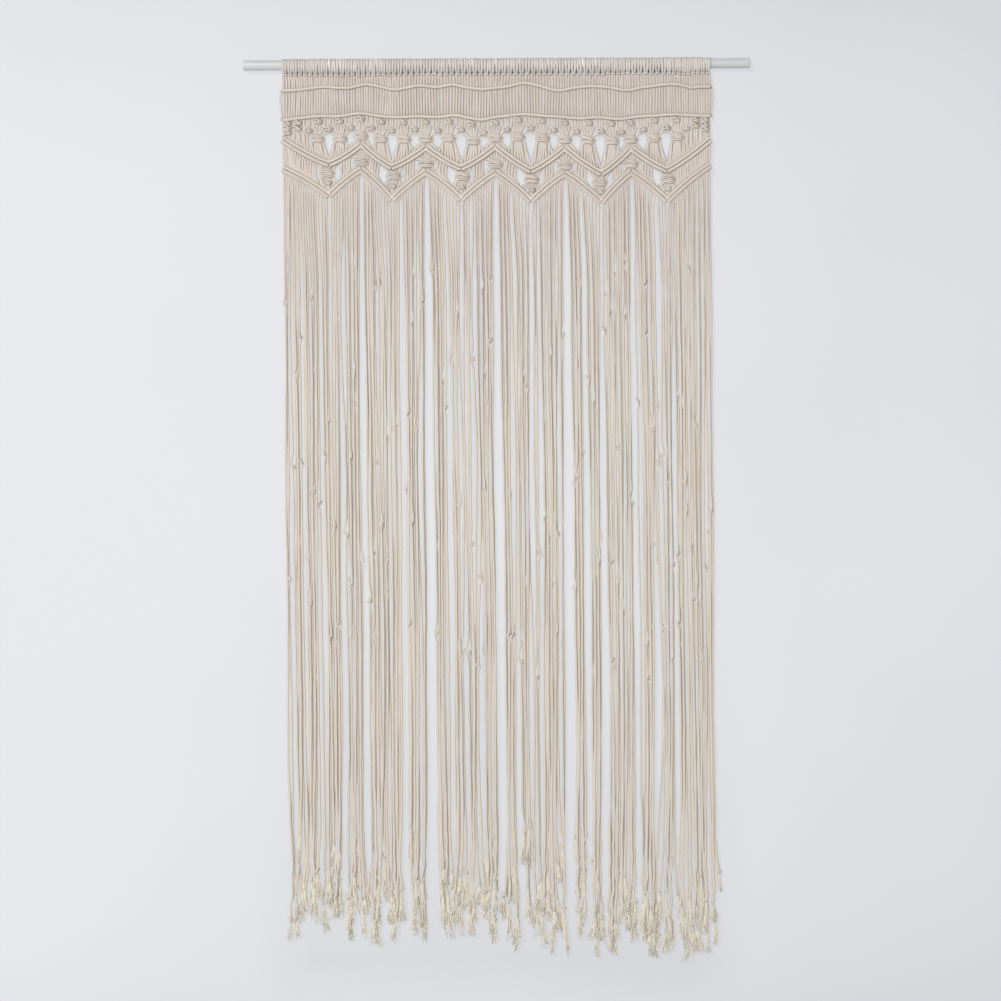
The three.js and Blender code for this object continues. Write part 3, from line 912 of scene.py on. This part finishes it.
# the unlaid ends: fine crimped locks that fan out
tuftLook = {
    "length": (44, 56),  # the shortest, and how much longer it may be
    "locks": 19,
    "thick": (1.5, 0.5),  # at the root and at the tip
    "crimp": 1.1,
    "wide": (3.5, 9),
    "aside": 7,
    "places": 8,
}
frayedCotton = cottonCord("frayedCotton", {
    **cottonLook, "frayed": 1.0, "lay": 0.06, "reliefDepth": 0.0002, "creaseShaded": 0.16,
    "ply": (0.915, 0.865, 0.75), "warm": (0.915, 0.845, 0.68),
    "grooveShade": (0.84, 0.77, 0.625), "hung": (0.905, 0.845, 0.705)})


def bunchCuts(level):
    fewest, more = hangLook["bunch"]
    fixed = {*groupEdges, *hangLook["breaks"]}
    cuts = [0]
    while cuts[-1] < cordCount:
        size = fewest + int(more * chance(cuts[-1], 101))
        ahead = min(cut for cut in fixed if cut > cuts[-1])
        cuts.append(ahead if ahead - cuts[-1] < size + 2 else cuts[-1] + size)
    # a string here and there goes over to the next bunch
    return [cut if cut in fixed or chance(cut, 110 + level) < 0.6 else
            cut + (1 if chance(cut, 120 + level) < 0.5 else -1) for cut in cuts]


def restingPlaces(level, pitch, sway):
    places = np.zeros(cordCount)
    cuts = bunchCuts(level)
    for first, last in zip(cuts[:-1], cuts[1:]):
        cords = np.arange(first, last)
        middle = np.mean([xAt(cord + 0.5) for cord in cords]) + spread(first, 130 + level, sway)
        places[first:last] = middle + (cords - cords.mean()) * pitch
    return places


levelHeights = [-215] + [height for height, pitch, sway in bunchLevels] + [-1900]
levelPlaces = [np.array([xAt(cord + 0.5) for cord in allCords])]
levelPlaces += [restingPlaces(level, pitch, sway) for level, (height, pitch, sway) in enumerate(bunchLevels)]
levelPlaces.append(levelPlaces[-1])


def partedAt(x, z):
    # how far the strings at x have moved aside at this height
    push = 0
    for place, reach, over, full in partings:
        away = x - place
        push += math.copysign(reach, away) * math.exp(-abs(away) / over) * easeBetween(-z, 165, -full)
    return push


def tipHeightAt(cord):
    pick = chance(cord, 2)
    least, more = hangLook["tipRise"]
    short, shortest, rate = hangLook["shortTips"]
    lift = least + more * pick if pick < short else shortest + rate * (pick - short)
    return -hangLook["longestDrop"] - hangLook["tipSlope"] * xAt(cord) / xAt(cordCount) + lift


def stringX(cord, z, tip):
    level = max(index for index, height in enumerate(levelHeights[:-1]) if z <= height or index == 0)
    share = easeBetween(-z, -levelHeights[level], -levelHeights[level + 1])
    rest = levelPlaces[level][cord] * (1 - share) + levelPlaces[level + 1][cord] * share
    looser, looseFrom, looseTo = hangLook["loose"]
    free, loose = easeBetween(-z, *hangLook["free"]), 1 + looser * easeBetween(-z, looseFrom, looseTo)
    kink, kinkFrom, kinkTo = hangLook["kinks"]
    kinks = (kink * easeBetween(-z, kinkFrom, kinkTo)
             * math.sin(z / (6 + 4 * chance(cord, 68)) + anyTurn(cord, 69)))
    waves = sum(reach * math.sin(z / (length + longer * chance(cord, lengthItem)) + anyTurn(cord, startItem))
                for reach, length, longer, lengthItem, startItem in stringWaves)
    hook = hookAt(cord, lowerBarAt) * (1 - easeBetween(-z, 260, 430))
    curlWide, curlLength = hangLook["curl"]
    curl = spread(cord, 77, curlWide) * easeBetween(-z, -tip - curlLength, -tip) ** 2
    lean = hangLook["lean"] * easeBetween(-z, 250, 1300)
    return rest + partedAt(xAt(cord + 0.5), z) + free * loose * waves + kinks + hook + lean + curl


def stringY(cord, z):
    free = easeBetween(-z, 200, 300)
    side = -1 if cord % 2 == 0 else 1
    return free * (side * hangLook["layerDepth"] + 0.8 * math.sin(z / (90 + 50 * chance(cord, 78)) + cord))


def smallKnotsOf(cord, endKnot):
    # heights of a string's small knots, from the top
    look, knots = stringKnotLook, []
    if chance(cord, 82) < look["share"]:
        knots.append(look["first"][0] - look["first"][1] * chance(cord, 81))
    if chance(cord, 83) < look["share"] / 2:
        knots.append(look["second"][0] - look["second"][1] * chance(cord, 84))
    knots = sorted((height for height in knots if height > endKnot + look["clear"]), reverse=True)
    if len(knots) == 2 and knots[0] - knots[1] < look["clear"]:
        knots.pop()
    return knots


def stringWay(cord, tip, endKnot):
    # from the zigzag bar down to where the tuft starts
    root, low = xAt(cord + 0.5), lowerBarAt(cord + 0.5) - ridgeGap
    lean = ridgeLean(cord, lowerBarAt)
    size, knots = stringKnotLook["size"], smallKnotsOf(cord, endKnot)
    way = [(root + lean * 0.8, 0, low), (root + lean * 3.6 * min(1, fromPeak(cord) / 3), -0.8, low - 5.2),
           (root + hookAt(cord, lowerBarAt) * 0.9 + partedAt(root, low - 12), -0.6, low - 12)]
    z = low - 24
    while z > endKnot + 16:
        if knots and knots[0] > z - 14:
            height = knots.pop(0)
            x, y = stringX(cord, height, tip), stringY(cord, height)
            way += overhandKnot(x, y, height, size, anyTurn(cord, 85))
            z = height - 16
        way.append((stringX(cord, z, tip), stringY(cord, z), z))
        z -= hangLook["spacing"]
    x, y = stringX(cord, endKnot, tip), stringY(cord, endKnot)
    if chance(cord, 86) < stringKnotLook["endShare"]:
        way += overhandKnot(x, y, endKnot, size * stringKnotLook["endSize"], anyTurn(cord, 87))
    way.append((x, y, endKnot - 7))
    return way


def stringThick(cord, heights):
    thinFrom, thinOver = hangLook["thinned"]
    more, moreFrom, moreOver = hangLook["fuller"]
    lumps = sum((high * np.sin(heights / length + shift * cord)
                 for high, length, shift in hangLook["lumps"]), start=1)
    thinned = np.clip((-heights - thinFrom) / thinOver, 0, 1) * (cordThick["string"] - cordThick["hanging"])
    fuller = np.clip((-heights - moreFrom) / moreOver, 0, 1) * more
    return (cordThick["string"] - thinned + fuller) * lumps


def layTuft(tufts, cord, x, y, top, fray):
    look = tuftLook
    aside, wide = spread(cord, 88, look["aside"]), look["wide"][0] + look["wide"][1] * chance(cord, 89)
    for lock in range(look["locks"]):
        item = cord * 40 + lock
        turn = 2 * math.pi * (lock + chance(item, 91)) / look["locks"]
        fan = wide * (0.1 + 0.9 * chance(item, 92)) ** 1.2
        length = (fray - 4) * (0.72 + 0.28 * chance(item, 93))
        crimp = look["crimp"] * (0.4 + chance(item, 94))
        start, rate = anyTurn(item, 96), 7 + 7 * chance(item, 97)
        run = []
        for grow in np.linspace(0, 1, look["places"]):
            wave = crimp * min(1, 2.5 * grow)
            lockX = (x + aside * grow ** 2 + math.cos(turn) * (1.2 + fan * grow)
                     + wave * math.sin(start + grow * rate))
            lockY = (y + math.sin(turn) * (1.2 + 0.5 * fan * grow)
                     + 0.6 * wave * math.cos(start + grow * rate))
            run.append((lockX, lockY, top - length * grow))
        tufts.lay(run, np.linspace(*look["thick"], look["places"]), toneOf(item, 95), start=item * 3)


def makeStrings(group, first, last):
    cords, tufts = CordBundle(6), CordBundle(3)
    hitches(cords, range(first, last), lowerBarAt, -ridgeGap, hitchLook["ridgeDepth"])
    for cord in range(first, last):
        tip = tipHeightAt(cord)
        fray = tuftLook["length"][0] + tuftLook["length"][1] * chance(cord, 80) ** 1.5
        endKnot = tip + fray
        path = smoothPath(stringWay(cord, tip, endKnot), hangLook["step"])
        cords.lay(path, stringThick(cord, path[:, 2]), toneOf(cord), start=cord * 13)
        layTuft(tufts, cord, stringX(cord, endKnot, tip), stringY(cord, endKnot), endKnot - 3, fray)
    made = cords.mesh(f"strings{group}", hungCotton, f"fringe_{group}")
    return made + tufts.mesh(f"frayedTips{group}", frayedCotton, f"fringe_{group}")


total = makeLoops() + makeBand() + makeLongBars() + makeGathers()
total += makeRidges("upperZigzag", upperBarAt, (ridgeGap, -ridgeGap))
total += makeMiddle() + makeRidges("lastRidge", lowerBarAt, (ridgeGap,))
for group, (first, last) in enumerate(zip(groupEdges[:-1], groupEdges[1:]), start=1):
    total += makeStrings(group, first, last)
print("all cords:", total, "triangles")

studio = {
    "scale": 1.976,  # mm of the curtain to one pixel of the picture
    "pixels": 1001,
    "distance": 4200,
    "middle": (3.8, -862),
    "roll": -0.28,  # degrees
    "sensor": 36,
    "floor": -2.0,  # metres, and so on from here
    "floorHalf": 8,
    "wall": (3, 0.0155, 1.6),  # half width, depth and top
    "aim": (0, 0, -0.9),
    "key": {"spot": (-2.9, -8.0, 2.0), "size": 1.8, "power": 500, "colour": (1.0, 0.985, 0.97)},
    "fill": {"spot": (-0.4, -8.0, -1.4), "size": 3.0, "power": 125, "colour": (0.97, 0.98, 1.0)},
    "worldLight": (0.93, 0.96, 1.0),
    "worldStrength": 0.27,
}

wallLook = {
    "pale": (0.852, 0.862, 0.884),
    "shade": (0.715, 0.73, 0.758),
    "cloud": (1.3, 2.0, 0.5),
    "shadeBy": {"cloud": 0.6, "across": 0.34, "away": 0.5, "added": 0.16, "behind": 0.6},
    "middle": 0.88,  # the shade grows above and below this depth
    "glow": 0.775,  # its own light keeps the gaps between the cords bright
    "dulled": 0.85,  # share of its colour that answers no other light
    "roughness": 0.95,
    "specular": 0.1,
}


def palePaint(name, glowing):
    look, finish = wallLook, Finish(name)
    place = finish.place()
    cloud = finish.noise(place, *look["cloud"])
    across, up = finish.axis(place, "X"), finish.axis(place, "Z")
    away = (up + look["middle"]).size()
    # a soft shade behind the lower half of the strings, which ends below their tips
    low, tips = (up * -1 - 1.0).held(), (up * 11 + 20.5).held()
    behind = ((0.5 - across.size()) * 8).held()
    by = look["shadeBy"]
    shade = ((cloud - 0.5) * by["cloud"] + across * by["across"] + away ** 4 * by["away"] + by["added"]
             + low * tips * behind * by["behind"]).held()
    colour = finish.mixed(shade, look["pale"], look["shade"])
    paint = {"Base Color": colour, "Roughness": look["roughness"], "Specular IOR Level": look["specular"]}
    if glowing:
        paint["Base Color"] = finish.mixed(look["dulled"], colour, (0, 0, 0))
        paint.update({"Emission Color": colour, "Emission Strength": look["glow"]})
    surface = finish.node("ShaderNodeBsdfPrincipled", links=paint)
    if glowing:  # clear from its back, so that the curtain can be seen from behind
        back = finish.node("ShaderNodeNewGeometry", output="Backfacing")
        clear = finish.node("ShaderNodeBsdfTransparent")
        surface = finish.node("ShaderNodeMixShader", links={0: back, 1: surface, 2: clear})
    return finish.finished(surface)


def makePlane(name, corners, material):
    data = bpy.data.meshes.new(name)
    data.from_pydata(corners, [], [(0, 1, 2, 3)])
    data.materials.append(material)
    plane = bpy.data.objects.new(name, data)
    scene.collection.objects.link(plane)


def makeCamera():
    data = bpy.data.cameras.new("camera")
    data.sensor_width = studio["sensor"]
    data.lens = studio["sensor"] * studio["distance"] / (studio["scale"] * studio["pixels"])
    data.clip_end = 50
    camera = bpy.data.objects.new("camera", data)
    spot = Vector((studio["middle"][0], -studio["distance"], studio["middle"][1])) * toMetres
    camera.matrix_world = (Matrix.Translation(spot) @ Matrix.Rotation(math.radians(90), 4, "X")
                           @ Matrix.Rotation(math.radians(studio["roll"]), 4, "Z"))
    scene.collection.objects.link(camera)
    scene.camera = camera


def makeLight(name, look):
    data = bpy.data.lights.new(name, "AREA")
    data.shape, data.size, data.energy, data.color = "SQUARE", look["size"], look["power"], look["colour"]
    light = bpy.data.objects.new(name, data)
    light.location = look["spot"]
    light.rotation_euler = (Vector(studio["aim"]) - Vector(look["spot"])).to_track_quat("-Z", "Y").to_euler()
    scene.collection.objects.link(light)


makeCamera()
ground, far = studio["floor"], studio["floorHalf"]
wide, depth, top = studio["wall"]
makePlane("wall", [(-wide, depth, ground), (wide, depth, ground), (wide, depth, top), (-wide, depth, top)],
          palePaint("wallPaint", True))
makePlane("floor", [(-far, -far, ground), (far, -far, ground), (far, far, ground), (-far, far, ground)],
          palePaint("floorPaint", False))
makeLight("keySoftbox", studio["key"])
makeLight("fillSoftbox", studio["fill"])
world = bpy.data.worlds.new("studio")
world.use_nodes = True
background = world.node_tree.nodes["Background"]
background.inputs["Color"].default_value = (*studio["worldLight"], 1)
background.inputs["Strength"].default_value = studio["worldStrength"]
scene.world = world
scene.view_settings.view_transform = "Standard"
print("camera, lights, floor and backdrop set")
